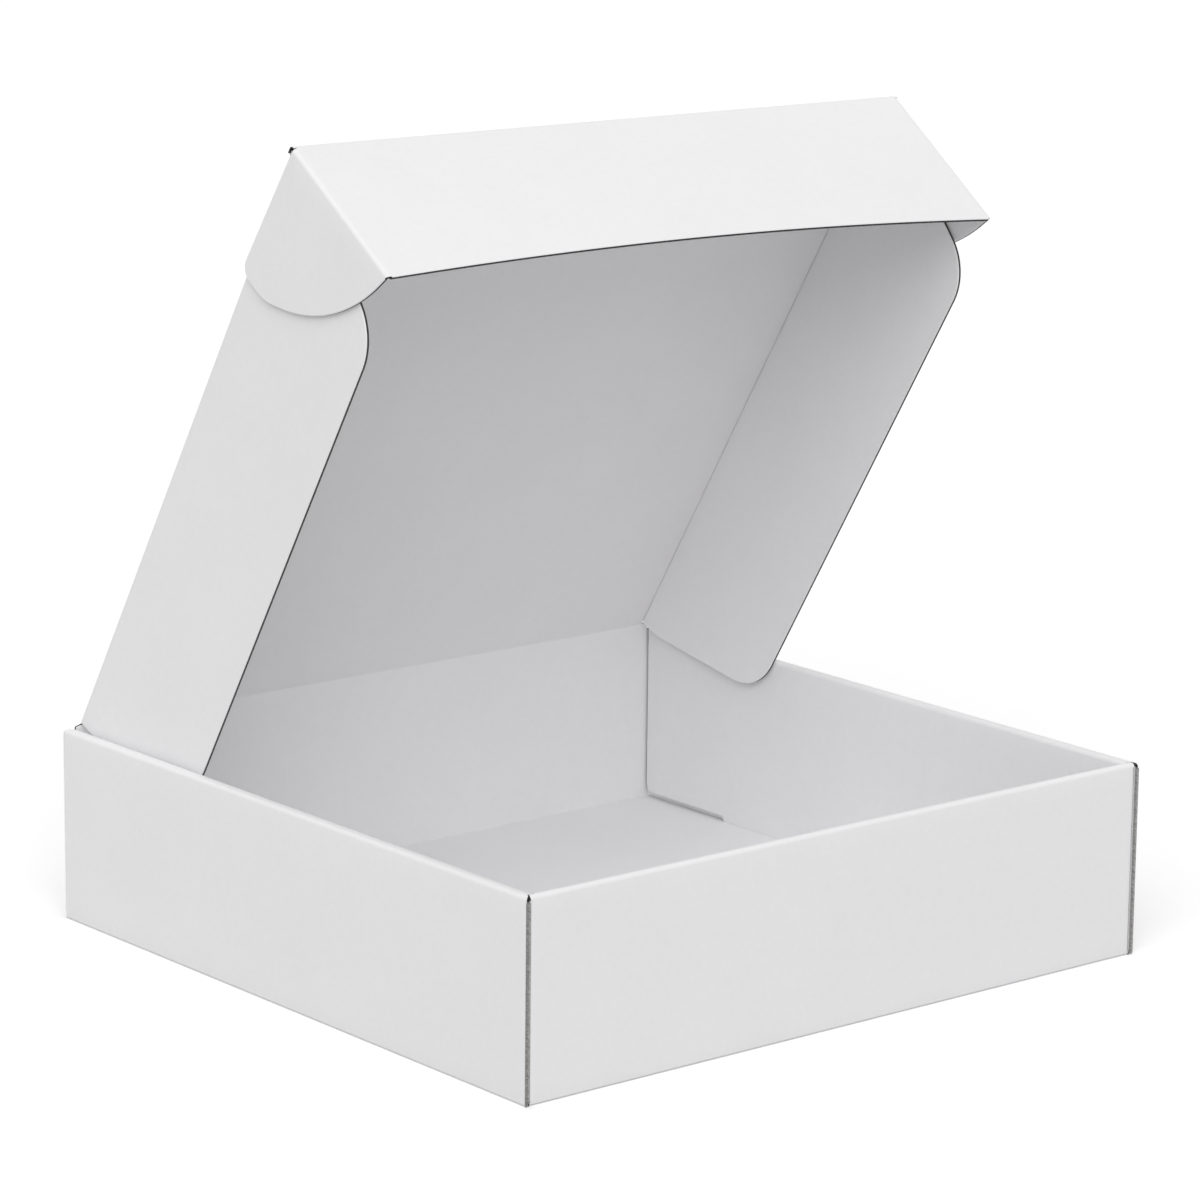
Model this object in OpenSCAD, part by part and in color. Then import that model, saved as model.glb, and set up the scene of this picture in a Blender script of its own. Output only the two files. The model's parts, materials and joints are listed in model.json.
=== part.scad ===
// A roll-end tuck-front mailer, folded from one blank of corrugated board.
// X runs along the front, the front wall faces -Y, and the tray stands on Z = 0.

/* [Board] */
// Thickness of the board
board_t = 1.7; // [1.2:0.1:3]
// Radius of the board's inner face at a fold
inner_r = 0.25; // [0.2:0.05:0.5]
// Clearance between two layers of board that lie together
layer_gap = 0.2; // [0.1:0.05:0.5]

/* [Tray] */
// Width of the tray along its front
tray_w = 340; // [240:1:480]
// Depth of the tray from front to back
tray_d = 328; // [240:1:460]
// Height of the walls
wall_h = 87; // [60:1:140]
// Length of the hidden end flaps inside the side walls
end_flap_len = 80; // [40:1:110]
// Height of the inner panels' bottom edges above the base
inner_lift = 1.3; // [0.5:0.1:4]
// Width of the flat strip along the front wall's rolled edge
roll_flat = 0.3; // [0.2:0.1:2]
// Radius of the rolled edges' ends, seen from the side
roll_end_r = 2.3; // [0.5:0.1:4]

/* [Locking tabs] */
// Length of each locking tab
tab_len = 60; // [20:1:80]
// Distance from the middle of a wall to the middle of each of its tabs
tab_place = 74.5; // [45:0.5:110]
// Clearance around a tab in its slot
tab_gap = 0.15; // [0.1:0.05:0.5]

/* [Lid] */
// Angle of the lid above its closed position
lid_open = 58.3; // [0:0.1:180]
// Clearance between the closed lid and the walls' top edges
lid_gap = 0.3; // [0.2:0.1:1]
// Clearance between the closed tuck flap's fold and the inner front panel
tuck_gap = 1.75; // [1.75:0.05:6]
// Clearance of the ears and wings from what lies beside them
flap_gap = 0.2; // [0.1:0.05:0.5]

/* [Wings] */
// Depth of the wings below the lid's outer face
wing_depth = 83; // [40:0.5:84]
// How far each wing's rear edge slants forward
wing_rear_slant = 29; // [5:1:60]
// How far each wing's front edge slants backward
wing_front_slant = 31; // [5:1:60]
// Distance of the wings' ends from the lid's two folds
wing_inset = 1.5; // [1.5:0.1:6]
// Radius of the wings' rear corners
wing_rear_r = 13; // [3:1:30]
// Radius of the wings' front corners
wing_front_r = 24; // [3:1:40]

/* [Tuck flap and ears] */
// Length of the tuck flap from its fold to its free edge
tuck_len = 80; // [40:0.5:82]
// Angle between the lid's plane and the tuck flap
tuck_fold = 96; // [96:0.5:120]
// Length of the ears, from the tuck flap's fold
ear_len = 66; // [55:1:90]
// Height of the ears' upright ends
ear_end_h = 15; // [12:1:30]
// Distance of the ears' curve from the tuck flap's fold
ear_curve_back = 48; // [30:1:52]
// Distance of the ears' curve below the lid's outer face
ear_curve_down = 52; // [45:1:65]
// Radius of the ears' upper corners
ear_corner_r = 9; // [3:1:10]
// Radius of the ears' curve
ear_curve_r = 60; // [20:1:80]

/* [Hidden] */
board_color = [0.89, 0.89, 0.9];
fold_steps = 4;
corner_steps = 10;
half_t = board_t / 2;
fold_r = inner_r + half_t;
pitch = board_t + layer_gap;
eps = 0.01;

// Middle planes of the layers, measured out from the centre of the tray
outer_x = tray_w / 2 - half_t;
flap_x = outer_x - pitch;
inner_x = flap_x - pitch;
front_y = tray_d / 2 - half_t;
inner_front_y = front_y - 2 * fold_r - roll_flat;
roll_z = wall_h - half_t;
floor_z = board_t;
outer_face = outer_x - half_t;
inner_side_face = inner_x - half_t;
inner_front_face = inner_front_y - half_t;
flap_top = wall_h - board_t - 2 * layer_gap;
strip_half = inner_side_face - layer_gap;
fold_reach = fold_r + half_t;

// The lid turns about the middle of its fold on the back wall
hinge_z = wall_h + lid_gap + half_t;
hinge_gap = 0.1;
ear_x = inner_side_face - flap_gap - half_t;
wing_x = ear_x - board_t - flap_gap;
lid_half = wing_x + half_t;
lid_len = front_y + inner_front_face - tuck_gap;
ear_top = 1.2;
ear_reach = ear_len + tuck_len * tan(tuck_fold - 90);
tuck_lean = (tuck_len - half_t) * -cos(tuck_fold) + half_t;

function unit(v) = v / norm(v);
function reversed(list) = [for (i = [len(list) - 1:-1:0]) list[i]];

// The points of a round corner at b, on the way from a to c
function corner(a, b, c, r, steps) =
    let (
        u = unit(a - b),
        v = unit(c - b),
        half_angle = acos(max(-1, min(1, u * v))) / 2,
        reach = r / tan(half_angle),
        centre = b + unit(u + v) * r / sin(half_angle),
        from = b + u * reach - centre,
        side = sign(cross(from, b + v * reach - centre)),
        sweep = 180 - 2 * half_angle
    )
    [for (i = [0:steps])
        let (angle = side * sweep * i / steps)
        centre + [
            from[0] * cos(angle) - from[1] * sin(angle),
            from[0] * sin(angle) + from[1] * cos(angle)
        ]];

// A closed outline with a radius at each of its points, 0 for a sharp one
function rounded(points, radii, steps) =
    let (n = len(points))
    [for (i = [0:n - 1])
        each radii[i] == 0
            ? [points[i]]
            : corner(points[(i + n - 1) % n], points[i], points[(i + 1) % n], radii[i], steps)];

// The middle line of a folded sheet, with a bend at each inner point
function bent(points) =
    concat(
        [points[0]],
        [for (i = [1:len(points) - 2])
            each corner(points[i - 1], points[i], points[i + 1], fold_r, fold_steps)],
        [points[len(points) - 1]]
    );

// One face of the sheet, at a distance from its middle line
function face_line(line, distance) =
    let (last = len(line) - 1)
    [for (i = [0:last])
        let (
            before = unit(line[max(i, 1)] - line[max(i, 1) - 1]),
            after = unit(line[min(i, last - 1) + 1] - line[min(i, last - 1)]),
            middle = unit(before + after),
            normal = [-middle[1], middle[0]]
        )
        line[i] + normal * distance / (middle * before)];

// The section of the folded sheet along a path of straight stretches
module sheet_section(path) {
    line = bent(path);
    polygon(concat(face_line(line, half_t), reversed(face_line(line, -half_t))));
}

// Extrudes a section drawn in X and Z along Y, from y0 to y1
module along_y(y0, y1) {
    translate([0, y1, 0]) rotate([90, 0, 0]) linear_extrude(y1 - y0) children();
}

// Extrudes a section drawn in Y and Z along X, centred
module along_x(width) {
    rotate([90, 0, 90]) linear_extrude(width, center = true) children();
}

module block(from, to) {
    translate(from) cube(to - from);
}

module both_sides() {
    children();
    mirror([1, 0, 0]) children();
}

module front_and_back() {
    children();
    mirror([0, 1, 0]) children();
}

// Base, outer side panels, rolled edges and inner side panels, as one bent strip
module side_strip() {
    along_y(-tray_d / 2, tray_d / 2)
        sheet_section([
            [-inner_x, floor_z + inner_lift],
            [-inner_x, roll_z],
            [-outer_x, roll_z],
            [-outer_x, half_t],
            [outer_x, half_t],
            [outer_x, roll_z],
            [inner_x, roll_z],
            [inner_x, floor_z + inner_lift]
        ]);
}

// Inner front panel, rolled edge, front wall, base and back wall, as one bent strip
module front_strip() {
    along_x(2 * strip_half)
        sheet_section([
            [-inner_front_y, floor_z + inner_lift],
            [-inner_front_y, roll_z],
            [-front_y, roll_z],
            [-front_y, half_t],
            [front_y, half_t],
            [front_y, hinge_z - half_t - hinge_gap]
        ]);
}

// The front wall's lower part round its two corner folds into the end flaps.
// The back wall has the same.
module end_band() {
    translate([0, 0, half_t])
        linear_extrude(flap_top - half_t)
            sheet_section([
                [-flap_x, -front_y + end_flap_len],
                [-flap_x, -front_y],
                [flap_x, -front_y],
                [flap_x, -front_y + end_flap_len]
            ]);
}

// Leaves room for the front and back walls at the ends of the inner side panels
module inner_end_cuts() {
    both_sides() {
        block([-outer_face, -tray_d, floor_z],
              [-inner_side_face + eps, -inner_front_face + layer_gap, flap_top + layer_gap]);
        block([-outer_face, front_y - half_t - layer_gap, floor_z],
              [-inner_side_face + eps, tray_d, flap_top + layer_gap]);
    }
}

// Leaves the base's front and back folds to the other strip
module base_end_cuts() {
    front_and_back()
        block([-strip_half, tray_d / 2 - fold_reach, -eps], [strip_half, tray_d, floor_z + eps]);
}

// Rounds off the ends of the rolled side edges
module roll_end_cuts() {
    front_and_back()
        along_x(2 * tray_w)
            translate([tray_d / 2 - roll_end_r, wall_h - roll_end_r])
                difference() {
                    square(2 * roll_end_r);
                    circle(roll_end_r, $fn = 32);
                }
}

// One locking tab of an inner side panel, or with a clearance its slot in the base
module side_tab(clearance, low, high) {
    for (y = [-tab_place, tab_place])
        block([-inner_x - half_t - clearance, y - tab_len / 2 - clearance, low],
              [-inner_x + half_t + clearance, y + tab_len / 2 + clearance, high]);
}

// One locking tab of the inner front panel, or with a clearance its slot
module front_tab(clearance, low, high) {
    for (x = [-tab_place, tab_place])
        block([x - tab_len / 2 - clearance, -inner_front_y - half_t - clearance, low],
              [x + tab_len / 2 + clearance, -inner_front_y + half_t + clearance, high]);
}

module tab_slots() {
    both_sides() side_tab(tab_gap, -eps, floor_z + eps);
    front_tab(tab_gap, -eps, floor_z + eps);
}

module tray() {
    color(board_color) {
        difference() {
            union() {
                difference() {
                    side_strip();
                    inner_end_cuts();
                    base_end_cuts();
                    roll_end_cuts();
                }
                front_strip();
                front_and_back() end_band();
            }
            tab_slots();
        }
        both_sides() side_tab(0, tab_gap, floor_z + inner_lift + eps);
        front_tab(0, tab_gap, floor_z + inner_lift + eps);
    }
}

// A point of the lid in its own frame: s from the hinge, w below the outer face
function lid_point(s, w) = [-s, half_t - w];

// Lid panel, front fold and tuck flap, as one bent strip
module tuck_strip() {
    fold = [-(lid_len - half_t), 0];
    along_x(2 * (wing_x - fold_r))
        sheet_section([
            [0, 0],
            fold,
            fold + (tuck_len - half_t) * [-cos(tuck_fold), -sin(tuck_fold)]
        ]);
    along_x(2 * lid_half) circle(half_t, $fn = 24);
}

// Lid panel with a wing folded down at each side, as one bent strip
module wing_strip() {
    low = half_t - wing_depth;
    along_y(-lid_len, 0)
        sheet_section([[-wing_x, low], [-wing_x, 0], [wing_x, 0], [wing_x, low]]);
}

// The wings' outline, seen from the side
module wing_outline() {
    rear = wing_inset;
    front = lid_len - board_t - wing_inset;
    above = lid_point(0, -board_t)[1];
    polygon(rounded(
        [
            [-rear, above],
            lid_point(rear, fold_reach),
            lid_point(rear + wing_rear_slant, wing_depth),
            lid_point(front - wing_front_slant, wing_depth),
            lid_point(front, fold_reach),
            [-front, above]
        ],
        [0, 0, wing_rear_r, wing_front_r, 0, 0],
        corner_steps
    ));
}

// Tuck flap with an ear folded back at each end, as one bent strip
module ear_strip() {
    translate([0, -(lid_len - half_t), 0])
        rotate([tuck_fold, 0, 0])
            along_y(-(tuck_len - half_t), 0)
                sheet_section([[-ear_x, -ear_reach], [-ear_x, 0], [ear_x, 0], [ear_x, -ear_reach]]);
}

// The ears' outline with the tuck flap, seen from the side
module ear_outline() {
    rear = lid_len - ear_len;
    polygon(rounded(
        [
            lid_point(lid_len + board_t, ear_top),
            lid_point(rear, ear_top),
            lid_point(rear, ear_top + ear_end_h),
            lid_point(lid_len - ear_curve_back, ear_curve_down),
            lid_point(lid_len - tuck_lean, tuck_len),
            lid_point(lid_len + board_t, tuck_len)
        ],
        [0, ear_corner_r, ear_corner_r, ear_curve_r, 0, 0],
        corner_steps
    ));
}

module lid() {
    color(board_color)
        translate([0, front_y, hinge_z])
            rotate([-lid_open, 0, 0]) {
                tuck_strip();
                intersection() {
                    wing_strip();
                    along_x(tray_w) wing_outline();
                }
                intersection() {
                    ear_strip();
                    along_x(tray_w) ear_outline();
                }
            }
}

tray();
lid();
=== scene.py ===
"""An open roll-end tuck-front mailer of white corrugated board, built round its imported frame."""

import json
import math

import bmesh
import bpy
import numpy as np
from bpy.props import FloatProperty, FloatVectorProperty, IntProperty
from mathutils import Matrix, Vector
from mathutils.geometry import delaunay_2d_cdt


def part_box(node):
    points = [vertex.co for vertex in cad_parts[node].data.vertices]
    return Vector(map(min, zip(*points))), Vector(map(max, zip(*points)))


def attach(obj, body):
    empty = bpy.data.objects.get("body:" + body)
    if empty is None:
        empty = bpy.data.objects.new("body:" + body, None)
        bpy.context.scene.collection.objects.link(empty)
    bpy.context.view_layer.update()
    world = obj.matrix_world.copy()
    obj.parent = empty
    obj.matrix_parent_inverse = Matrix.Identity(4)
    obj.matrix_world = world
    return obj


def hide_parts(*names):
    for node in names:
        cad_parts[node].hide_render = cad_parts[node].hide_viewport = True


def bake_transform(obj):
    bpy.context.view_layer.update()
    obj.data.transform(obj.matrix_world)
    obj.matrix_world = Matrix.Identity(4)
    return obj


bl_info = {
    "name": "Tuck-front mailer",
    "version": (1, 0, 0),
    "blender": (4, 5, 0),
    "location": "3D View > Sidebar > Mailer",
    "description": "Folds a corrugated mailer box from its panels and sets it in a plain studio",
    "category": "Object",
}

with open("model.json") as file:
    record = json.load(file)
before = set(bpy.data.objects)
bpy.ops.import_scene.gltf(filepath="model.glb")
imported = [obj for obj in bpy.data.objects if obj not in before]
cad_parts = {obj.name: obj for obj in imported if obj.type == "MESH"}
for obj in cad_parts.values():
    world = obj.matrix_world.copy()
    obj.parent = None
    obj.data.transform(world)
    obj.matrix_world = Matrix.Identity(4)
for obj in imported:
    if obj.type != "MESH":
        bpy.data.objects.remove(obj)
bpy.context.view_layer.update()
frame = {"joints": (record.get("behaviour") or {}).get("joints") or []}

MM = 0.001
NEAR = 1e-7

# How the panels are divided
ARC_STEP = 1.5 * MM
POINT_GAP = 0.01 * MM
EDGE_GAP = 0.12 * MM
MERGE_GAP = 0.04 * MM
POINTS_PER_FLUTE = 8
SLIVER_SHARE = 1e-3
SHARP_ANGLE = math.radians(38)

# The frame's own sizes
TRAY_LOW, TRAY_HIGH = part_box("tray")
LID_HINGE = next(joint for joint in frame["joints"] if joint["name"] == "lid_hinge")
HINGE_Y = LID_HINGE["pos_m"][1]
HINGE_Z = LID_HINGE["pos_m"][2]
LID_OPEN = -math.radians(LID_HINGE["range_deg"][0])
TRAY_WIDTH = TRAY_HIGH.x - TRAY_LOW.x
TRAY_DEPTH = TRAY_HIGH.y - TRAY_LOW.y
BOARD_THICKNESS = 2 * (TRAY_HIGH.y - HINGE_Y)

# How an edge of a panel ends: joined to the next panel, cut, pressed thin or spread by the cut
SEAM = 0
CUT = 1
PRESSED = 2
SPREAD = 3

# The material slots of a board piece
LINER = 0
CUT_PAPER = 1
# The wavy paper and the hollow between the liners, coloured near black with painted shade of the deep
# flutes
FLUTING_SHADE = 2
SPLAYED = 3


def length(name, about, default):
    """A length that a user may change."""
    return FloatProperty(name=name, description=about, default=default, unit="LENGTH", precision=5)


def angle(name, about, degrees):
    """An angle that a user may change."""
    return FloatProperty(name=name, description=about, default=math.radians(degrees), subtype="ANGLE")


def number(name, about, default):
    """A plain number that a user may change."""
    return FloatProperty(name=name, description=about, default=default)


def paint(name, about, colour):
    """A colour that a user may change."""
    return FloatVectorProperty(
        name=name, description=about, default=colour, size=3, min=0, max=1, subtype="COLOR"
    )


class BoardSettings(bpy.types.PropertyGroup):
    """The corrugated board and its colours."""

    thickness: length("Thickness", "Thickness of the board", BOARD_THICKNESS)
    layer_gap: length("Layer gap", "Clearance between two layers that lie together", 0.2 * MM)
    fold_radius: length("Fold radius", "Radius of the board's middle at a fold", 1.1 * MM)
    liner: length("Liner", "Thickness of each paper liner", 0.22 * MM)
    fluting_inset: length("Fluting inset", "How far the wavy paper ends below a cut", 0.08 * MM)
    fluting: length("Fluting", "Thickness of the wavy paper between the liners", 0.17 * MM)
    flute_pitch: length("Flute pitch", "Distance from one flute to the next", 3.1 * MM)
    cut_depth: length("Cut depth", "How deep one sees between the liners at a cut edge", 1.6 * MM)
    cut_share: number("Cut share", "Thickness left at a plain cut", 0.97)
    cut_reach: length("Cut reach", "Width of the strip along a plain cut", 0.03 * MM)
    pressed_reach: length("Pressed reach", "Width of the pressed strip along an edge", 0.35 * MM)
    pressed_share: number("Pressed share", "Thickness left at a pressed edge", 0.62)
    spread_reach: length("Spread reach", "Width of the strip that a cut spreads", 0.25 * MM)
    spread_share: number("Spread share", "Thickness where a cut spreads the board", 1.5)
    spread_depth: length("Spread depth", "How deep one sees into a spread edge", 0.35 * MM)
    grid: length("Grid", "Largest distance between the points of a panel", 8 * MM)
    fold_steps: IntProperty(
        name="Fold steps", description="Rows of faces round each fold", default=6, min=2, max=12
    )
    liner_colour: paint("Liner colour", "Colour of the white liner", (0.86, 0.855, 0.865))
    cut_colour: paint("Cut colour", "Colour of the liners' cut edges", (0.14, 0.137, 0.133))
    # The wavy paper's grey darkened to near black with painted shade of the hollow flutes behind a cut
    # edge
    fluting_shade_colour: paint("Fluting colour", "Colour of the wavy paper", (0.06, 0.057, 0.055))
    splayed_colour: paint("Splayed colour", "Colour of the spread cut edges", (0.36, 0.355, 0.35))


class TraySettings(bpy.types.PropertyGroup):
    """The tray's walls."""

    wall_height: length("Wall height", "Height of the walls", 87 * MM)
    corner_gap: length("Corner gap", "Gap beside the ends of the front and back", 0.6 * MM)
    slit: length("Slit", "Width of the cuts beside the end flaps", 0.15 * MM)
    sharp_fold: length("Sharp fold", "Radius of the board's middle at the corners", 0.4 * MM)
    inner_lift: length("Inner lift", "Height of the inner panels' edges above the base", 2.4 * MM)
    inner_gap: length("Inner gap", "Gap between the inner side panels and the back wall", 1.1 * MM)
    inner_radius: length("Inner radius", "Radius of the inner side panels' corners", 4.5 * MM)
    roll_flat: length("Roll flat", "Flat strip along the front wall's rolled edge", 0.3 * MM)
    roll_end: length("Roll end", "Radius of the rolled side edges' ends", 2.3 * MM)
    roll_radius: length("Roll radius", "Radius of the front roll's corners", 1.2 * MM)
    end_flap: length("End flap", "Length of the hidden end flaps", 80 * MM)
    end_flap_radius: length("End flap radius", "Radius of the end flaps' corners", 6 * MM)
    tab_length: length("Tab length", "Length of each locking tab", 60 * MM)
    tab_place: length("Tab place", "Distance of a tab's middle from the wall's middle", 74.5 * MM)
    tab_taper: length("Tab taper", "How far a tab's ends slant", 1.2 * MM)
    tab_radius: length("Tab radius", "Radius of a tab's corners", 0.8 * MM)
    tab_gap: length("Tab gap", "Clearance round a tab in its slot", 0.15 * MM)
    bulge: length("Bulge", "How far the outer panels bulge", 0.5 * MM)
    inner_bulge: length("Inner bulge", "How far the inner panels bulge", -0.2 * MM)


class LidSettings(bpy.types.PropertyGroup):
    """The lid with its wings, tuck flap and ears."""

    front_gap: length("Front gap", "Clearance of the closed tuck flap's fold", 1.75 * MM)
    crease_below: length("Crease below", "Part of the crease on the wall", 2.15 * MM)
    crease_beyond: length("Crease beyond", "Part of the crease on the lid", 1.9 * MM)
    crease_radius: length("Crease radius", "Radius of the open crease", 5 * MM)
    crease_pinch: number("Crease pinch", "Thickness lost in the crease's middle", 0.22)
    crease_pinch_width: length("Pinch width", "Half the width of that middle", 0.6 * MM)
    crease_step: length("Crease step", "Height of the crease's full width and of its slant", 1.2 * MM)
    crease_row: length("Crease row", "Distance between the crease's points", 0.25 * MM)
    sag: length("Sag", "How far the lid panel bends", 0.8 * MM)
    wing_sag: length("Wing sag", "How far the wings bend", 0.64 * MM)
    twist: angle("Twist", "How much further open the warped lid's left side stands", 1.1)
    notch: length("Notch", "Gap between a side fold and the end of the front fold", 1.2 * MM)
    slit: length("Slit", "Width of the cuts at the ends of the front fold", 0.3 * MM)
    corner: length("Corner", "How far the front fold passes the ears' middle", 0.35 * MM)
    groove: number("Groove", "How deep the wings' folds are pressed in", 0.7)
    groove_width: length("Groove width", "Half the width of those folds' grooves", 0.7 * MM)
    wing_depth: length("Wing depth", "Depth of the wings below the lid", 83 * MM)
    wing_inset: length("Wing inset", "Distance of the wings' ends from the folds", 1.5 * MM)
    wing_rear_slant: length("Rear slant", "Slant of the wings' rear edges", 29 * MM)
    wing_front_slant: length("Front slant", "Slant of the wings' front edges", 31 * MM)
    wing_rear_start: length("Rear start", "Step at the top of the rear edges", 0.3 * MM)
    wing_rear_bend: length("Rear bend", "Distance of the rear edges' bend", 10 * MM)
    wing_rear_ease: length("Rear ease", "Slant of the rear edges above the bend", 1.5 * MM)
    wing_bend_radius: length("Bend radius", "Radius of the rear edges' bend", 40 * MM)
    wing_rear_radius: length("Rear radius", "Radius of the wings' rear corners", 26 * MM)
    wing_front_radius: length("Front radius", "Radius of the wings' front corners", 24 * MM)
    tuck_length: length("Tuck length", "Length of the tuck flap beyond its fold", 78 * MM)
    tuck_fold: angle("Tuck fold", "Smallest angle that the tuck flap is folded by", 90)
    tuck_fold_end: angle("Fold's end", "Angle at which the flap is cut free of its fold", 93)
    tuck_bow: number("Tuck bow", "Growth of that angle to the ends, per square metre", 2.9)
    tuck_bow_middle: length("Bow middle", "Where along the front the fold is least", -8 * MM)
    ear_top: length("Ear top", "Distance of the ears' upper ends from the fold", 1.56 * MM)
    ear_step: length("Ear step", "How far the ears end above the flap's edge", 1.2 * MM)
    ear_length: length("Ear length", "Length of the ears", 65 * MM)
    ear_end: length("Ear end", "Height of the ears' upright ends", 20 * MM)
    ear_curve_back: length("Ear curve back", "Distance of the ears' curve from the flap", 42 * MM)
    ear_curve_down: length("Ear curve down", "Distance of the ears' curve below its top", 64 * MM)
    ear_curve_radius: length("Ear curve radius", "Radius of the ears' curve", 92 * MM)
    ear_corner_radius: length("Ear corner radius", "Radius of the ears' upper corners", 6 * MM)
    ear_end_radius: length("Ear end radius", "Radius of the ears' lower corners", 22 * MM)


class StudioSettings(bpy.types.PropertyGroup):
    """The camera, lamps and floor."""

    camera_azimuth: angle("Azimuth", "Direction that the camera looks from", -39.50)
    camera_elevation: angle("Elevation", "Height of the camera above the horizon", 13.08)
    camera_roll: angle("Roll", "Turn of the camera about its own line of sight", 0.6027)
    camera_place: FloatVectorProperty(
        name="Camera place",
        description="Where the camera stands",
        default=(-1350.8 * MM, -1639.8 * MM, 646.2 * MM),
        subtype="TRANSLATION",
        unit="LENGTH",
    )
    camera_lens: number("Lens", "Focal length of the camera in millimetres", 150.27)
    floor_reach: length("Floor reach", "Half the width of the floor", 14)
    floor_seen: paint("Floor as seen", "Colour that the floor shows the camera", (1.0, 1.0, 1.0))
    floor_lit: paint("Floor as a lamp", "Colour that the floor lights the box with", (0.61, 0.61, 0.61))
    floor_glow: number("Floor glow", "Light that the camera sees added to the floor", 0.11)
    sky_strength: number("Sky", "Strength of the even light from all round", 0.64)
    key_strength: number("Key lamp", "Strength of the wide soft lamp above", 1.40)
    key_spread: angle("Key spread", "How much of the sky the lamp fills", 50)
    key_from: FloatVectorProperty(
        name="Key direction",
        description="Direction that the wide soft lamp shines from",
        default=(-0.52, -0.56, 0.645),
        subtype="DIRECTION",
    )


def unit(vector):
    """The vector at a length of one."""
    return vector / np.linalg.norm(vector)


def left_of(vectors):
    """Plane vectors turned a quarter to the left."""
    return np.stack([-vectors[..., 1], vectors[..., 0]], axis=-1)


def cross(first, second):
    """How far the second plane vector lies to the left of the first."""
    return first[0] * second[1] - first[1] * second[0]


class Section:
    """A bent line of straight stretches and round folds, measured along its own length."""

    def __init__(self, corners, radii):
        corners = [np.array(corner, float) for corner in corners]
        radii = np.broadcast_to(radii, len(corners) - 2)
        self.stretches = []
        self.folds = []
        here = corners[0]
        so_far = 0.0
        for before, corner, after, radius in zip(corners, corners[1:], corners[2:], radii):
            way = unit(corner - before)
            onward = unit(after - corner)
            turn = math.atan2(cross(way, onward), way @ onward)
            reach = radius * math.tan(abs(turn) / 2)
            self.stretches.append((so_far, here, way, 0.0))
            fold_start = corner - way * reach
            so_far += np.linalg.norm(fold_start - here)
            self.stretches.append((so_far, fold_start, way, math.copysign(1 / radius, turn)))
            self.folds.append((so_far, so_far + radius * abs(turn)))
            so_far += radius * abs(turn)
            here = corner + onward * reach
        self.stretches.append((so_far, here, unit(corners[-1] - here), 0.0))
        self.end = so_far + np.linalg.norm(corners[-1] - here)

    def locate(self, lengths):
        """Points of the line, and the normals to its left, at these lengths."""
        lengths = np.asarray(lengths, float)
        points = np.zeros(lengths.shape + (2,))
        normals = np.zeros(lengths.shape + (2,))
        limits = [stretch[0] for stretch in self.stretches[1:]] + [math.inf]
        low = -math.inf
        for (first, here, way, bend), high in zip(self.stretches, limits):
            chosen = (lengths >= low) & (lengths < high)
            along = lengths[chosen] - first
            turned = along * bend
            forward = np.sin(turned) / bend if bend else along
            aside = (1 - np.cos(turned)) / bend if bend else along * 0
            points[chosen] = here + forward[:, None] * way + aside[:, None] * left_of(way)
            tangents = np.cos(turned)[:, None] * way + np.sin(turned)[:, None] * left_of(way)
            normals[chosen] = left_of(tangents)
            low = high
        return points, normals

    def reach(self, target):
        """The length at which a straight stretch comes nearest to a point."""
        best = (math.inf, 0.0)
        limits = [stretch[0] for stretch in self.stretches[1:]] + [self.end]
        for (first, here, way, bend), high in zip(self.stretches, limits):
            if bend:
                continue
            along = min(max((np.array(target) - here) @ way, 0), high - first)
            miss = np.linalg.norm(np.array(target) - here - along * way)
            best = min(best, (miss, first + along))
        return best[1]

    def fold_rows(self, steps):
        """The lengths of the rows of points round the folds."""
        return [value for fold in self.folds for value in np.linspace(*fold, steps + 1)]

    def swell(self, lengths, amounts):
        """A gentle bulge of each straight stretch, given its height in the middle."""
        lengths = np.asarray(lengths, float)
        rise = np.zeros(lengths.shape)
        starts = [stretch[0] for stretch in self.stretches if not stretch[3]]
        ends = [fold[0] for fold in self.folds] + [self.end]
        for start, end, amount in zip(starts, ends, amounts):
            share = np.clip((lengths - start) / (end - start), 0, 1)
            rise += amount * np.sin(math.pi * share)
        return rise


def spread(stops, step):
    """Values through the stops, no further apart than the step."""
    stops = np.unique(np.round(np.array(stops, float), 7))
    values = [stops[:1]]
    for low, high in zip(stops, stops[1:]):
        count = max(1, math.ceil((high - low) / step - NEAR))
        values.append(np.linspace(low, high, count + 1)[1:])
    return np.concatenate(values)


def round_corner(before, corner, after, radius):
    """The points of a round corner."""
    way = unit(corner - before)
    onward = unit(after - corner)
    turn = math.atan2(cross(way, onward), way @ onward)
    reach = radius * math.tan(abs(turn) / 2)
    start = corner - way * reach
    bend = math.copysign(1 / radius, turn)
    steps = max(6, math.ceil(abs(turn) * radius / ARC_STEP))
    turned = np.linspace(0, turn, steps + 1)[:, None]
    return start + np.sin(turned) / bend * way + (1 - np.cos(turned)) / bend * left_of(way)


def outline(half):
    """A closed outline from its right half, as points and how the edge after each one ends.

    The half is a list of (across, along, edge, radius) from the middle round to the middle.
    """
    places = [np.array(corner[:2], float) for corner in half]
    points = []
    ends = []
    for index, (_, _, end, radius) in enumerate(half):
        if radius:
            found = round_corner(places[index - 1], places[index], places[index + 1], radius)
        else:
            found = [places[index]]
        points += list(found)
        ends += [end] * len(found)
    mirrored = [point * (-1, 1) for point in reversed(points[1:-1])]
    return np.array(points + mirrored), ends[:-1] + list(reversed(ends[:-1]))


def slot(across, along, width, depth):
    """A slot's outline from its middle and half sizes, clockwise as a hole is, all of it cut."""
    left, right = across - width, across + width
    low, high = along - depth, along + depth
    return np.array([(left, high), (right, high), (right, low), (left, low)]), [CUT] * 4


def edges_of(loops):
    """The ends of each edge of the loops."""
    for points, _ in loops:
        yield from zip(points, np.roll(points, -1, 0))


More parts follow.
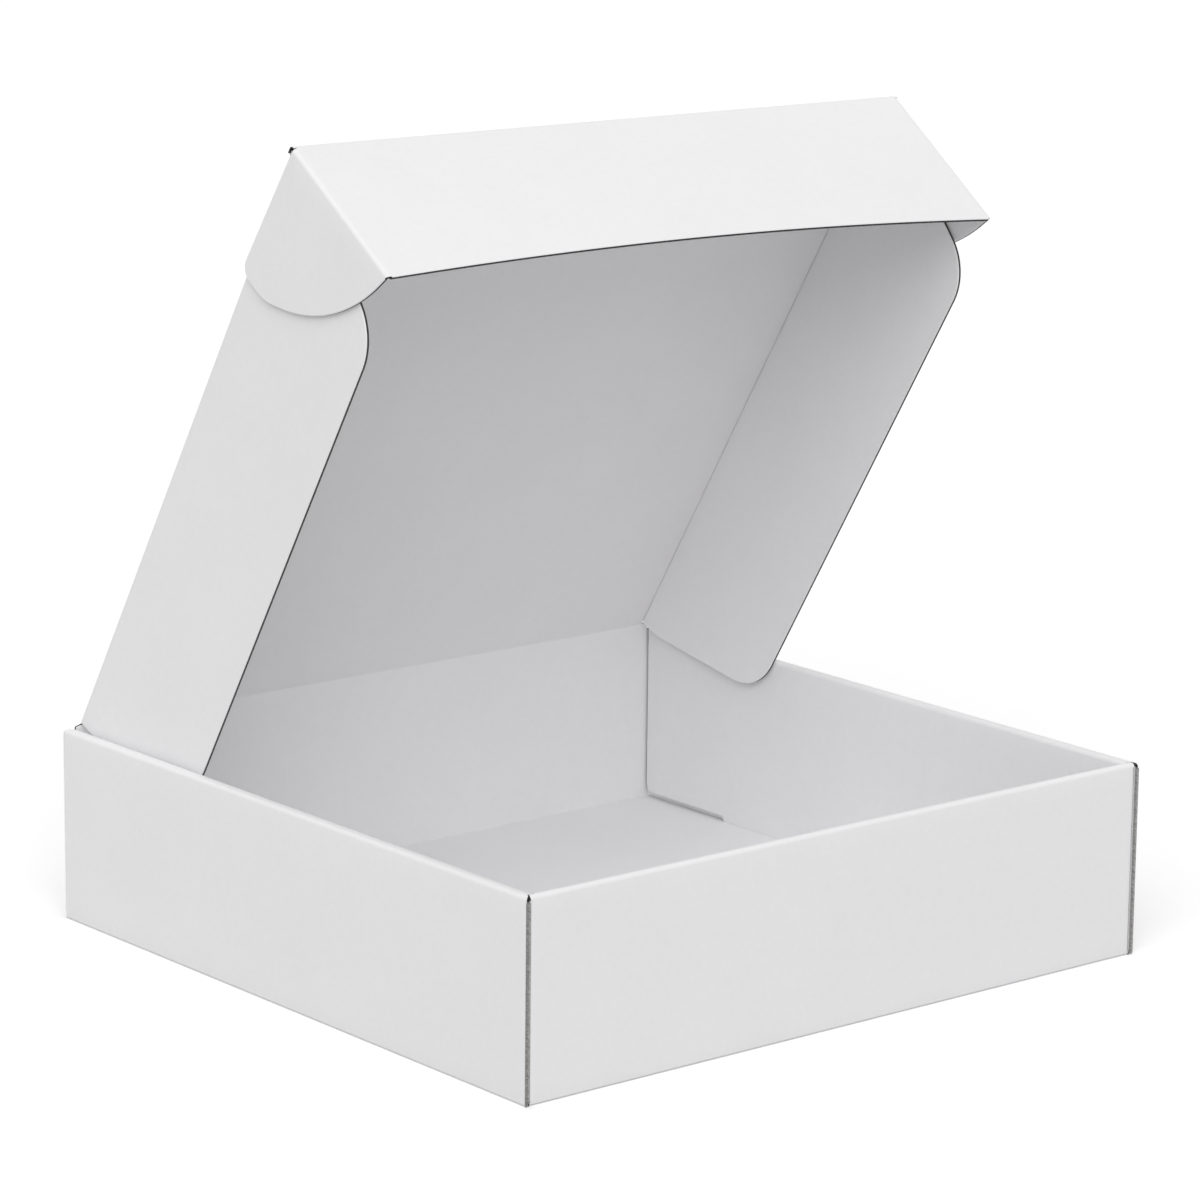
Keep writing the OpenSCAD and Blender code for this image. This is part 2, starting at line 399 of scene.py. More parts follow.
def contains(loops, tests):
    """Which test points lie inside the loops, holes left out."""
    inside = np.zeros(len(tests), bool)
    for start, end in edges_of(loops):
        if abs(end[1] - start[1]) > NEAR:
            spans = (start[1] > tests[:, 1]) != (end[1] > tests[:, 1])
            part = (tests[:, 1] - start[1]) / (end[1] - start[1])
            inside ^= spans & (tests[:, 0] < start[0] + part * (end[0] - start[0]))
    return inside


def clear_of(loops, tests, gap):
    """Which test points lie at least a gap away from the loops."""
    clear = np.ones(len(tests), bool)
    for start, end in edges_of(loops):
        way = end - start
        part = np.clip((tests - start) @ way / (way @ way), 0, 1)
        clear &= np.linalg.norm(tests - start - part[:, None] * way, axis=1) > gap
    return clear


def sampled(points, ends, columns, rows, step):
    """The outline with a point at each grid line, and closer ones where it cuts flutes."""
    found = []
    kinds = []
    for start, end, kind in zip(points, np.roll(points, -1, 0), ends):
        span = end - start
        size = np.linalg.norm(span)
        shares = [0.0]
        for axis, lines in ((0, columns), (1, rows)):
            if abs(span[axis]) > NEAR:
                crossed = (lines - start[axis]) / span[axis]
                away = np.minimum(crossed, 1 - crossed) * size > 2 * POINT_GAP
                shares += list(crossed[away])
        if kind != SEAM:
            count = math.ceil(abs(span[0]) / step)
            close = np.arange(1, count) / max(count, 1)
            gaps = np.abs(close[:, None] - np.array(shares + [1.0])[None, :]).min(1)
            shares += list(close[gaps * size > 10 * POINT_GAP])
        shares = np.array(sorted(shares))
        keep = np.concatenate([[True], np.diff(shares) * size > POINT_GAP])
        for share in shares[keep]:
            found.append(start + share * span)
            kinds.append(kind)
    return np.array(found), kinds


def grid_links(loops, flat, columns, rows):
    """Links between the points on each grid line, so that no triangle crosses a fold."""
    links = []
    for axis, lines in ((0, columns), (1, rows)):
        for line in lines:
            on_line = np.flatnonzero(np.abs(flat[:, axis] - line) < NEAR)
            if len(on_line) > 1:
                on_line = on_line[np.argsort(flat[on_line, 1 - axis])]
                middles = (flat[on_line[1:]] + flat[on_line[:-1]]) / 2
                inside = contains(loops, middles)
                pairs = np.stack([on_line[:-1], on_line[1:]], axis=1)[inside]
                links += [tuple(pair) for pair in pairs.tolist()]
    return links


def triangulated(flat, links):
    """Triangles between flat points that keep the links, with the points that they use."""
    scaled = [Vector(point / MM) for point in flat]
    found, _, faces, sources, _, _ = delaunay_2d_cdt(scaled, links, [], 0, 1e-6)
    places = np.array([tuple(point) for point in found]) * MM
    for place, old in enumerate(sources):
        for source in old:
            places[place] = flat[source]
    return places, np.array([tuple(face) for face in faces])


def slivers(corners):
    """Which flat triangles are too thin to have a sound normal."""
    ways = np.roll(corners, -1, axis=1) - corners
    doubled = np.abs(ways[:, 0, 0] * ways[:, 1, 1] - ways[:, 0, 1] * ways[:, 1, 0])
    return doubled < SLIVER_SHARE * np.max(np.sum(ways**2, axis=2), axis=1)


def inward(points):
    """The directions from a closed outline into the board, longer at its corners."""
    ways = np.roll(points, -1, 0) - points
    ways /= np.linalg.norm(ways, axis=1)[:, None]
    normals = left_of(ways)
    before = np.roll(normals, 1, 0)
    middle = normals + before
    size = np.maximum(np.sum(middle * normals, axis=1), 0.8)
    return middle / size[:, None]


class Board:
    """Gathers the faces of one folded piece of corrugated board."""

    def __init__(self, settings):
        self.settings = settings
        self.points = []
        self.flat = []
        self.faces = []
        self.slots = []
        self.surface = []

    def add_points(self, places, flat):
        """Adds points and gives the number of the first."""
        first = len(self.points)
        self.points += [tuple(place) for place in places]
        self.flat += [tuple(spot) for spot in flat]
        return first

    def add_face(self, corners, slot, flip):
        """Adds one face, turned over where the panel is a mirror image."""
        self.faces.append(tuple(reversed(corners)) if flip else tuple(corners))
        self.slots.append(slot)

    def sheet(self, loops, across, along, place, row_gap=None):
        """Adds one panel or chain of panels, given flat outlines and a way to fold them.

        The outer outline runs anticlockwise. The stops across and along get rows of points.
        The function place takes distances across, along and out of the flat board.
        """
        half = self.settings.thickness / 2
        columns = spread(across, self.settings.grid)
        columns = np.concatenate([-columns[::-1], columns[columns > NEAR]])
        rows = spread(along, row_gap or self.settings.grid)
        step = self.settings.flute_pitch / POINTS_PER_FLUTE
        edges = [sampled(points, ends, columns, rows, step) for points, ends in loops]
        grid = np.stack(np.meshgrid(columns, rows), -1).reshape(-1, 2)
        grid = grid[contains(loops, grid)]
        grid = grid[clear_of(loops, grid, EDGE_GAP)]
        flat = np.concatenate([points for points, _ in edges] + [grid])

        links = grid_links(loops, flat, columns, rows)
        first = 0
        for points, _ in edges:
            count = len(points)
            links += [(first + i, first + (i + 1) % count) for i in range(count)]
            first += count
        flat, triangles = triangulated(flat, links)
        triangles = triangles[contains(loops, flat[triangles].mean(1))]
        triangles = triangles[~slivers(flat[triangles])]

        outer = place(flat[:, 0], flat[:, 1], half)
        inner = place(flat[:, 0], flat[:, 1], -half)
        a, b, c = triangles[len(triangles) // 2]
        normal = np.cross(outer[b] - outer[a], outer[c] - outer[a])
        flip = normal @ (outer[a] - inner[a]) < 0
        outer_first = self.add_points(outer, flat)
        inner_first = self.add_points(inner, flat)
        self.surface += range(outer_first, len(self.points))
        for a, b, c in triangles.tolist():
            self.add_face((a + outer_first, b + outer_first, c + outer_first), LINER, flip)
            self.add_face((c + inner_first, b + inner_first, a + inner_first), LINER, flip)

        for points, ends in edges:
            self.cut_edge(points, ends, place, flip)

    def cut_edge(self, points, ends, place, flip):
        """Adds the liners' cut edges, the hollow between them and the wavy paper in it, the hollow and
        the wavy paper dark with painted shade.
        """
        board = self.settings
        half = board.thickness / 2
        looks = {
            CUT: (board.cut_share, board.cut_reach, board.cut_depth),
            PRESSED: (board.pressed_share, board.pressed_reach, board.cut_depth),
            SPREAD: (board.spread_share, board.spread_reach, board.spread_depth),
        }
        pairs = zip(ends, [ends[-1]] + ends[:-1])
        kinds = [end if end == before and end != SEAM else CUT for end, before in pairs]
        share, lip, depth = np.array([looks[kind] for kind in kinds]).T
        edge = half * share
        gap = edge - board.liner
        deep_gap = half - board.liner
        wave = np.sin(2 * math.pi * points[:, 0] / board.flute_pitch)
        front_wave = wave * (gap - board.fluting / 2)
        deep_wave = wave * (deep_gap - board.fluting / 2)
        into = inward(points)

        def ring(inset, out):
            spots = points + into * np.broadcast_to(inset, len(points))[:, None]
            first = self.add_points(place(spots[:, 0], spots[:, 1], out), spots)
            return np.arange(first, first + len(points))

        liner_rings = [
            ring(0, half),
            ring(-lip, edge),
            ring(-lip, gap),
            ring(depth, deep_gap),
            ring(depth, -deep_gap),
            ring(-lip, -gap),
            ring(-lip, -edge),
            ring(0, -half),
        ]
        # The hollow's walls and floor take the fluting colour, painted shade standing in for the deep
        # flutes behind the cut
        slots = [LINER, CUT_PAPER, FLUTING_SHADE, FLUTING_SHADE, FLUTING_SHADE, CUT_PAPER, LINER]
        self.band(liner_rings, slots, ends, flip)
        recess = board.fluting_inset - lip
        # The wavy paper's sides are dark with painted shade; its cut front takes the cut paper's grey
        wave_rings = [
            ring(depth, deep_wave + board.fluting / 2),
            ring(recess, front_wave + board.fluting / 2),
            ring(recess, front_wave - board.fluting / 2),
            ring(depth, deep_wave - board.fluting / 2),
        ]
        self.band(wave_rings, [FLUTING_SHADE, CUT_PAPER, FLUTING_SHADE], ends, flip)

    def band(self, rings, slots, ends, flip):
        """Joins rings of points with faces, except along the seams."""
        count = len(ends)
        for first, second, slot in zip(rings, rings[1:], slots):
            for i in range(count):
                if ends[i] != SEAM:
                    j = (i + 1) % count
                    own = SPLAYED if ends[i] == SPREAD and slot != LINER else slot
                    self.add_face((first[i], second[i], second[j], first[j]), own, flip)

    def build(self, name):
        """Makes the Blender object, with its seams closed and no slivers."""
        mesh = bpy.data.meshes.new(name)
        faces = [tuple(int(corner) for corner in face) for face in self.faces]
        mesh.from_pydata(self.points, [], faces)
        mesh.polygons.foreach_set("material_index", self.slots)
        sheet_map = mesh.uv_layers.new(name="Flat")
        corners = np.zeros(len(mesh.loops), np.int32)
        mesh.loops.foreach_get("vertex_index", corners)
        sheet_map.data.foreach_set("uv", np.array(self.flat)[corners].ravel())
        shape = bmesh.new()
        shape.from_mesh(mesh)
        shape.verts.ensure_lookup_table()
        surface = [shape.verts[index] for index in self.surface]
        bmesh.ops.remove_doubles(shape, verts=surface, dist=MERGE_GAP)
        loose = [vert for vert in shape.verts if not vert.link_faces]
        bmesh.ops.delete(shape, geom=loose, context="VERTS")
        shape.to_mesh(mesh)
        shape.free()
        mesh.shade_smooth()
        mesh.set_sharp_from_angle(angle=SHARP_ANGLE)
        for material in board_materials():
            mesh.materials.append(material)
        piece = bpy.data.objects.new(name, mesh)
        bpy.context.scene.collection.objects.link(piece)
        return piece


class Shading:
    """The nodes of one material or sky, with short ways to add more."""

    def __init__(self, owner):
        owner.use_nodes = True
        self.nodes = owner.node_tree.nodes
        self.join = owner.node_tree.links.new

    def noise(self, scale, detail):
        """A noise texture's value, in the object's own space."""
        texture = self.nodes.new("ShaderNodeTexNoise")
        texture.inputs["Scale"].default_value = scale
        texture.inputs["Detail"].default_value = detail
        place = self.nodes.new("ShaderNodeTexCoord")
        self.join(place.outputs["Object"], texture.inputs["Vector"])
        return texture.outputs["Fac"]

    def mapped(self, value, new_low, new_high, low=0.3, high=0.7):
        """The value moved from one range to another."""
        node = self.nodes.new("ShaderNodeMapRange")
        for index, limit in enumerate((low, high, new_low, new_high), start=1):
            node.inputs[index].default_value = limit
        self.join(value, node.inputs[0])
        return node.outputs[0]

    def calculated(self, operation, first, second):
        """The result of a sum on a value and another value or a number."""
        node = self.nodes.new("ShaderNodeMath")
        node.operation = operation
        self.join(first, node.inputs[0])
        if isinstance(second, (int, float)):
            node.inputs[1].default_value = second
        else:
            self.join(second, node.inputs[1])
        return node.outputs[0]

    def shaded(self, colour, factor):
        """A colour made lighter or darker by a factor."""
        node = self.nodes.new("ShaderNodeVectorMath")
        node.operation = "SCALE"
        node.inputs[0].default_value = colour
        self.join(factor, node.inputs["Scale"])
        return node.outputs[0]

    def relief(self, shader, height, strength, distance):
        """Roughens a surface by a height."""
        bump = self.nodes.new("ShaderNodeBump")
        bump.inputs["Strength"].default_value = strength
        bump.inputs["Distance"].default_value = distance
        self.join(height, bump.inputs["Height"])
        self.join(bump.outputs["Normal"], shader.inputs["Normal"])

    def seen_directly(self):
        """One for rays that show a surface to the camera, straight or in a shiny surface."""
        rays = self.nodes.new("ShaderNodeLightPath").outputs
        either = self.calculated("MAXIMUM", rays["Is Camera Ray"], rays["Is Glossy Ray"])
        return self.calculated("MAXIMUM", either, rays["Is Transmission Ray"])


def white_liner(colour, pitch):
    """Coated white paper, softly clouded, with faint fibres and the flutes just showing."""
    material = bpy.data.materials.new("white_liner")
    paper = Shading(material)
    shader = paper.nodes["Principled BSDF"]
    clouds = paper.mapped(paper.noise(scale=26, detail=3), 0.990, 1.006)
    mottle = paper.noise(scale=330, detail=4)
    fibres = paper.noise(scale=1500, detail=2)
    tone = paper.calculated("ADD", clouds, paper.mapped(mottle, -0.012, 0.008))
    tone = paper.calculated("ADD", tone, paper.mapped(fibres, 0, -0.02, low=0.62, high=0.75))
    paper.join(paper.shaded(colour, tone), shader.inputs["Base Color"])
    paper.join(paper.mapped(mottle, 0.5, 0.62), shader.inputs["Roughness"])
    shader.inputs["Specular IOR Level"].default_value = 0.35

    spot = paper.nodes.new("ShaderNodeSeparateXYZ")
    paper.join(paper.nodes.new("ShaderNodeTexCoord").outputs["UV"], spot.inputs[0])
    waves = paper.calculated("MULTIPLY", spot.outputs["X"], 2 * math.pi / pitch)
    waves = paper.calculated("SINE", waves, 0.0)
    height = paper.calculated("ADD", paper.calculated("MULTIPLY", waves, 0.25), mottle)
    height = paper.calculated("ADD", height, fibres)
    paper.relief(shader, height, strength=0.35, distance=0.03 * MM)


def bare_paper(name, colour):
    """Uncoated grey paper with short fibres, as at a cut edge."""
    material = bpy.data.materials.new(name)
    paper = Shading(material)
    shader = paper.nodes["Principled BSDF"]
    fibres = paper.noise(scale=900, detail=4)
    tone = paper.mapped(fibres, 0.75, 1.2)
    paper.join(paper.shaded(colour, tone), shader.inputs["Base Color"])
    shader.inputs["Roughness"].default_value = 0.9
    shader.inputs["Specular IOR Level"].default_value = 0.2
    paper.relief(shader, fibres, strength=0.5, distance=0.05 * MM)


def board_materials():
    """The white liner, the cut edges, the wavy paper darkened with painted shade of the hollow flutes,
    and the spread cut edges.
    """
    board = bpy.context.scene.mailer_board
    if "white_liner" not in bpy.data.materials:
        white_liner(board.liner_colour, board.flute_pitch)
        bare_paper("cut_liner", board.cut_colour)
        # The fluting paper's colour is painted shade of the hollow flutes over the paper's own grey
        bare_paper("shaded_fluting_paper", board.fluting_shade_colour)
        bare_paper("splayed_liner", board.splayed_colour)
    names = ("white_liner", "cut_liner", "shaded_fluting_paper", "splayed_liner")
    return [bpy.data.materials[name] for name in names]


class Layers:
    """Where the middles of the board's layers, and the seams between its sheets, lie.

    Names with x and y are places from the box's middle and most others are heights, but
    strip_half is half the crease's width, and crease_s is where the crease joins the lid,
    measured away from the hinge.
    """

    def __init__(self, board, tray, lid):
        pitch = board.thickness + board.layer_gap
        half = board.thickness / 2
        self.outer_x = TRAY_WIDTH / 2 - half
        self.flap_x = self.outer_x - pitch
        self.inner_x = self.flap_x - pitch
        self.front_y = TRAY_DEPTH / 2 - half
        self.inner_front_y = self.front_y - 2 * board.fold_radius - tray.roll_flat
        self.roll_z = tray.wall_height - half
        self.panel_low = board.thickness + tray.inner_lift
        self.flap_top = tray.wall_height - board.thickness - 2 * board.layer_gap
        self.flap_low = board.thickness + board.layer_gap
        self.strip_half = self.inner_x - half - board.layer_gap
        self.seam_y = self.front_y - board.fold_radius
        self.seam_x = self.strip_half - 0.5 * board.layer_gap
        self.corner_x = self.outer_x - half - tray.corner_gap
        self.crease_z = HINGE_Z - lid.crease_below
        self.ear_x = self.inner_x - half - board.layer_gap - half
        self.wing_x = self.ear_x - pitch
        self.lid_seam_x = self.wing_x - board.fold_radius
        self.lid_corner_x = self.ear_x + lid.corner
        self.crease_s = lid.crease_beyond


def tab(tray, middle, low, drop):
    """The four corners of a locking tab on a panel's edge, in order along it."""
    reach = tray.tab_length / 2
    return [
        (middle - reach, low, 0),
        (middle - reach + tray.tab_taper, low + drop, tray.tab_radius),
        (middle + reach - tray.tab_taper, low + drop, tray.tab_radius),
        (middle + reach, low, 0),
    ]


def side_sheet(piece, board, tray, layers):
    """The base with both side walls: outer panels, rolled edges and inner panels."""
    half = board.thickness / 2
    section = Section(
        [
            (0, half),
            (layers.outer_x, half),
            (layers.outer_x, layers.roll_z),
            (layers.inner_x, layers.roll_z),
            (layers.inner_x, layers.panel_low),
        ],
        (tray.sharp_fold, board.fold_radius, board.fold_radius),
    )
    edge = TRAY_DEPTH / 2
    roll_low = section.reach((layers.outer_x, tray.wall_height - tray.roll_end))
    roll_first = section.folds[1][1]
    roll_last = section.folds[2][0]
    inner_first = section.folds[2][1]
    low = section.end
    corner = layers.corner_x + tray.slit
    front_inner = -(layers.inner_front_y - half - board.layer_gap - board.pressed_reach)
    back_inner = layers.front_y - half - tray.inner_gap
    drop = layers.panel_low - tray.tab_gap
    middles = (-tray.tab_place, tray.tab_place)
    corners = [spot for middle in middles for spot in tab(tray, middle, low, drop)]
    tabs = [(across, along, CUT, radius) for along, across, radius in corners]
    round_end = roll_first - roll_low
    half_outline = [
        (0, -layers.seam_y, SEAM, 0),
        (layers.seam_x, -layers.seam_y, CUT, 0),
        (corner, -layers.seam_y, CUT, 0),
        (corner, -edge, SPREAD, 0),
        (roll_first, -edge, CUT, round_end),
        (roll_first, -edge + tray.roll_end, CUT, 0),
        (roll_last, -edge + tray.roll_end, CUT, 0),
        (inner_first, front_inner, CUT, 0),
        (low, front_inner, CUT, tray.inner_radius),
        *tabs,
        (low, back_inner, CUT, tray.inner_radius),
        (inner_first, back_inner, CUT, 0),
        (roll_last, edge - tray.roll_end, CUT, 0),
        (roll_first, edge - tray.roll_end, CUT, 0),
        (roll_first, edge, SPREAD, round_end),
        (corner, edge, CUT, 0),
        (corner, layers.seam_y, CUT, 0),
        (layers.seam_x, layers.seam_y, SEAM, 0),
        (0, layers.seam_y, SEAM, 0),
    ]
    gap = half + tray.tab_gap
    reach = tray.tab_length / 2 + tray.tab_gap
    loops = [outline(half_outline)]
    for side in (-1, 1):
        loops += [slot(side * layers.inner_x, middle, gap, reach) for middle in middles]
    loops += [slot(middle, -layers.inner_front_y, reach, gap) for middle in middles]

    def place(across, along, out):
        points, normals = section.locate(np.abs(across))
        bulge = section.swell(np.abs(across), (0, tray.bulge, 0, tray.inner_bulge))
        out = out + bulge * np.cos(math.pi * np.clip(along / TRAY_DEPTH, -0.5, 0.5))
        x = np.sign(across) * (points[:, 0] - normals[:, 0] * out)
        return np.stack([x, along, points[:, 1] - normals[:, 1] * out], axis=1)

    stops = [0, layers.seam_x, section.end] + section.fold_rows(board.fold_steps)
    piece.sheet(loops, stops, [-edge, -layers.seam_y, layers.seam_y, edge], place)


def end_sheet(piece, board, tray, layers, way, rolled):
    """The front wall (way -1, rolled) or back wall (way 1), with its two end flaps."""
    half = board.thickness / 2
    corners = [(0, half), (layers.front_y, half)]
    if rolled:
        corners += [
            (layers.front_y, layers.roll_z),
            (layers.inner_front_y, layers.roll_z),
            (layers.inner_front_y, layers.panel_low),
        ]
    else:
        corners.append((layers.front_y, layers.crease_z))
    section = Section(corners, [tray.sharp_fold] + [board.fold_radius] * (len(corners) - 3))
    flap_x = layers.flap_x - board.layer_gap
    plan = Section([(0, 0), (flap_x, 0), (flap_x, tray.end_flap)], tray.sharp_fold)
    turn_start = plan.folds[0][0]
    slit = tray.slit
    flap_low = section.reach((layers.front_y, layers.flap_low))
    flap_top = section.reach((layers.front_y, layers.flap_top))
    top = [(layers.strip_half, flap_top, CUT, 0), (layers.strip_half, section.end, SEAM, 0)]
    if rolled:
        over = section.folds[1][1] + slit
        top = [
            (turn_start, flap_top, CUT, 0),
            (turn_start, flap_top + slit, CUT, 0),
            (layers.corner_x, flap_top + slit, CUT, 0),
            (layers.corner_x, over, CUT, tray.roll_radius),
            (layers.strip_half, over, CUT, 0),
            (layers.strip_half, section.end, CUT, 0),
        ]
        drop = layers.panel_low - tray.tab_gap
        found = reversed(tab(tray, tray.tab_place, section.end, drop))
        top += [(across, along, CUT, radius) for across, along, radius in found]
    half_outline = [
        (0, layers.seam_y, SEAM, 0),
        (layers.seam_x, layers.seam_y, CUT, 0),
        (layers.corner_x, layers.seam_y, CUT, 0),
        (layers.corner_x, flap_low - slit, CUT, 0),
        (turn_start, flap_low - slit, CUT, 0),
        (turn_start, flap_low, CUT, 0),
        (plan.end, flap_low, CUT, tray.end_flap_radius),
        (plan.end, flap_top, CUT, tray.end_flap_radius),
        *top,
        (0, section.end, CUT, 0),
    ]

    def place(across, along, out):
        ends, end_normals = section.locate(along)
        sides, side_normals = plan.locate(np.abs(across))
        bulge = section.swell(along, (0, tray.bulge, 0, tray.inner_bulge))
        out = out + bulge * np.cos(math.pi * np.clip(across / TRAY_WIDTH, -0.5, 0.5))
        beside = (along > flap_low - slit / 2) & (along < flap_top + slit / 2)
        flat = (np.abs(across) <= turn_start) | ~beside
        x = np.where(flat, np.abs(across), sides[:, 0] - side_normals[:, 0] * out)
        turned = ends[:, 0] - sides[:, 1] + side_normals[:, 1] * out
        y = np.where(flat, ends[:, 0] - end_normals[:, 0] * out, turned)
        z = np.where(flat, ends[:, 1] - end_normals[:, 1] * out, ends[:, 1])
        return np.stack([np.sign(across) * x, way * y, z], axis=1)

    columns = [0, layers.seam_x, plan.end] + plan.fold_rows(board.fold_steps)
    rows = [layers.seam_y, section.end] + section.fold_rows(board.fold_steps)
    piece.sheet([outline(half_outline)], columns, rows, place)


def on_lid(x, along, depth, twist):
    """Places given across, away from the hinge and down from the lid's middle layer."""
    share = 0.5 - np.asarray(x) / TRAY_WIDTH
    turned = LID_OPEN + twist * share
    y = HINGE_Y - along * np.cos(turned) - depth * np.sin(turned)
    z = HINGE_Z + along * np.sin(turned) - depth * np.cos(turned)
    return np.stack([x, y, z], axis=-1)


def lid_length(board, lid, layers):
    """The distance from the hinge to the front of the lid."""
    return layers.front_y + layers.inner_front_y - board.thickness / 2 - lid.front_gap


def lid_sheet(piece, board, lid, layers):
    """The lid panel with a wing folded down at each side."""
    half = board.thickness / 2
    corners = [(0, 0), (layers.wing_x, 0), (layers.wing_x, lid.wing_depth - half)]
    section = Section(corners, board.fold_radius)
    size = lid_length(board, lid, layers)
    seam = size - half - board.fold_radius
    fold_end = section.folds[0][1]
    fold_middle = sum(section.folds[0]) / 2
    rear = lid.wing_inset
    front = size - board.thickness - lid.wing_inset
    slit = front - lid.notch
    half_outline = [
        (0, layers.crease_s, SEAM, 0),
        (layers.lid_seam_x, layers.crease_s, CUT, 0),
        (fold_end, rear + lid.wing_rear_start, PRESSED, 0),
        (fold_end + lid.wing_rear_bend, rear + lid.wing_rear_ease, PRESSED, lid.wing_bend_radius),
        (section.end, rear + lid.wing_rear_slant, PRESSED, lid.wing_rear_radius),
        (section.end, front - lid.wing_front_slant, PRESSED, lid.wing_front_radius),
        (fold_end, slit, CUT, 0),
        (layers.lid_seam_x, slit, CUT, 0),
        (layers.lid_seam_x, slit + lid.slit, CUT, 0),
        (layers.lid_corner_x, slit + lid.slit, CUT, 0),
        (layers.lid_corner_x, seam, SEAM, 0),
        (0, seam, SEAM, 0),
    ]

    def place(across, along, out):
        points, normals = section.locate(np.abs(across))
        before_slit = (along < slit + lid.slit / 2)[:, None]
        points = np.where(before_slit, points, np.stack([np.abs(across), across * 0], axis=1))
        normals = np.where(before_slit, normals, (0, 1))
        groove = lid.groove * np.exp(-(((np.abs(across) - fold_middle) / lid.groove_width) ** 4))
        out = np.where(np.less(out, 0), out * (1 - groove), out)
        share = np.clip((along - layers.crease_s) / (seam - layers.crease_s), 0, 1)
        sag = section.swell(np.abs(across), (0, lid.wing_sag))
        middle = np.cos(math.pi * np.clip(across / (2 * layers.lid_seam_x), -0.5, 0.5))
        out = out - (lid.sag * middle + sag) * np.sin(math.pi * share)
        x = np.sign(across) * (points[:, 0] - normals[:, 0] * out)
        return on_lid(x, along, points[:, 1] - normals[:, 1] * out, lid.twist)

    stops = [0, layers.lid_seam_x, layers.lid_corner_x, section.end]
    stops += section.fold_rows(board.fold_steps)
    piece.sheet([outline(half_outline)], stops, [layers.crease_s, seam], place)


def tuck_sheet(piece, board, lid, layers):
    """The tuck flap, bowed a little, with an ear folded back at each end."""
    half = board.thickness / 2
    radius = board.fold_radius
    start = lid_length(board, lid, layers) - half - radius
    plan = Section([(0, 0), (layers.ear_x, 0), (layers.ear_x, lid.ear_length)], radius)
    fold_end = radius * lid.tuck_fold_end

    def back(distance):
        return plan.reach((layers.ear_x, distance))

    free_edge = fold_end + lid.tuck_length
    slit = fold_end + lid.slit
    half_outline = [
        (0, 0, SEAM, 0),
        (layers.lid_corner_x, 0, CUT, 0),
        (layers.lid_corner_x, slit, CUT, 0),
        (plan.folds[0][0], slit, CUT, 0),
        (plan.folds[0][0], slit + lid.slit, CUT, 0),
        (plan.end, fold_end + lid.ear_top, PRESSED, lid.ear_corner_radius),
        (plan.end, fold_end + lid.ear_end, PRESSED, lid.ear_end_radius),
        (back(lid.ear_curve_back), fold_end + lid.ear_curve_down, PRESSED, lid.ear_curve_radius),
        (plan.folds[0][1], free_edge - lid.ear_step, CUT, 0),
        (plan.folds[0][0], free_edge, PRESSED, 0),
        (0, free_edge, CUT, 0),
    ]

    def place(across, along, out):
        sides, normals = plan.locate(np.abs(across))
        above_slit = (along < slit + lid.slit / 2)[:, None]
        sides = np.where(above_slit, np.stack([np.abs(across), across * 0], axis=1), sides)
        normals = np.where(above_slit, (0, 1), normals)
        x = np.clip(np.sign(across) * sides[:, 0], -layers.ear_x, layers.ear_x)
        fold = lid.tuck_fold + lid.tuck_bow * (x - lid.tuck_bow_middle) ** 2
        in_fold = (along < radius * fold) & above_slit[:, 0]
        turned = np.where(in_fold, along / radius, fold)
        beyond = np.where(in_fold, 0, along - radius * fold)
        s = start + radius * np.sin(turned) + beyond * np.cos(turned)
        depth = radius * (1 - np.cos(turned)) + beyond * np.sin(turned)
        proud = normals[:, 1] * out - sides[:, 1]
        s = s + proud * np.sin(turned)
        depth = depth - proud * np.cos(turned)
        x = np.sign(across) * (sides[:, 0] - normals[:, 0] * out)
        return on_lid(x, s, depth, lid.twist)

    stops = [0, layers.lid_seam_x, layers.lid_corner_x, plan.end]
    stops += plan.fold_rows(board.fold_steps)
    rows = [*np.linspace(0, fold_end, board.fold_steps + 1), free_edge]
    piece.sheet([outline(half_outline)], stops, rows, place)


def crease_sheet(piece, lid, layers):
    """The bent strip of board between the back wall and the lid."""
    onward = (-math.cos(LID_OPEN), math.sin(LID_OPEN))
    corners = [
        (HINGE_Y, layers.crease_z),
        (HINGE_Y, HINGE_Z),
        (HINGE_Y + layers.crease_s * onward[0], HINGE_Z + layers.crease_s * onward[1]),
    ]
    section = Section(corners, lid.crease_radius)
    half_outline = [
        (0, 0, SEAM, 0),
        (layers.strip_half, 0, PRESSED, 0),
        (layers.strip_half, lid.crease_step, PRESSED, 0),
        (layers.lid_seam_x, 2 * lid.crease_step, PRESSED, 0),
        (layers.lid_seam_x, section.end, SEAM, 0),
        (0, section.end, SEAM, 0),
    ]

    def place(across, along, out):
        points, normals = section.locate(along)
        off_middle = (along - section.end / 2) / lid.crease_pinch_width
        pinch = 1 - lid.crease_pinch * np.exp(-(off_middle**2))
        points = points - normals * (out * pinch)[:, None]
        return np.concatenate([across[:, None], points], axis=1)

    stops = [0, layers.lid_seam_x, layers.strip_half]
    piece.sheet([outline(half_outline)], stops, [0, section.end], place, lid.crease_row)


def set_out(scene):
    """The settings, the places of the layers and a piece of board with no faces yet."""
    board, tray, lid = scene.mailer_board, scene.mailer_tray, scene.mailer_lid
    return board, tray, lid, Layers(board, tray, lid), Board(board)


class MAILER_OT_tray(bpy.types.Operator):
    """Build the tray: base, rolled side walls, front wall and back wall"""

    bl_idname = "mailer.tray"
    bl_label = "Build the tray"

    def execute(self, context):
        """Fold the tray's panels and give them to the tray's body."""
        board, tray, _, layers, piece = set_out(context.scene)
        side_sheet(piece, board, tray, layers)
        end_sheet(piece, board, tray, layers, -1, True)
        end_sheet(piece, board, tray, layers, 1, False)
        made = piece.build("tray_board")
        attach(made, "tray")
        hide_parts("tray")
        return {"FINISHED"}


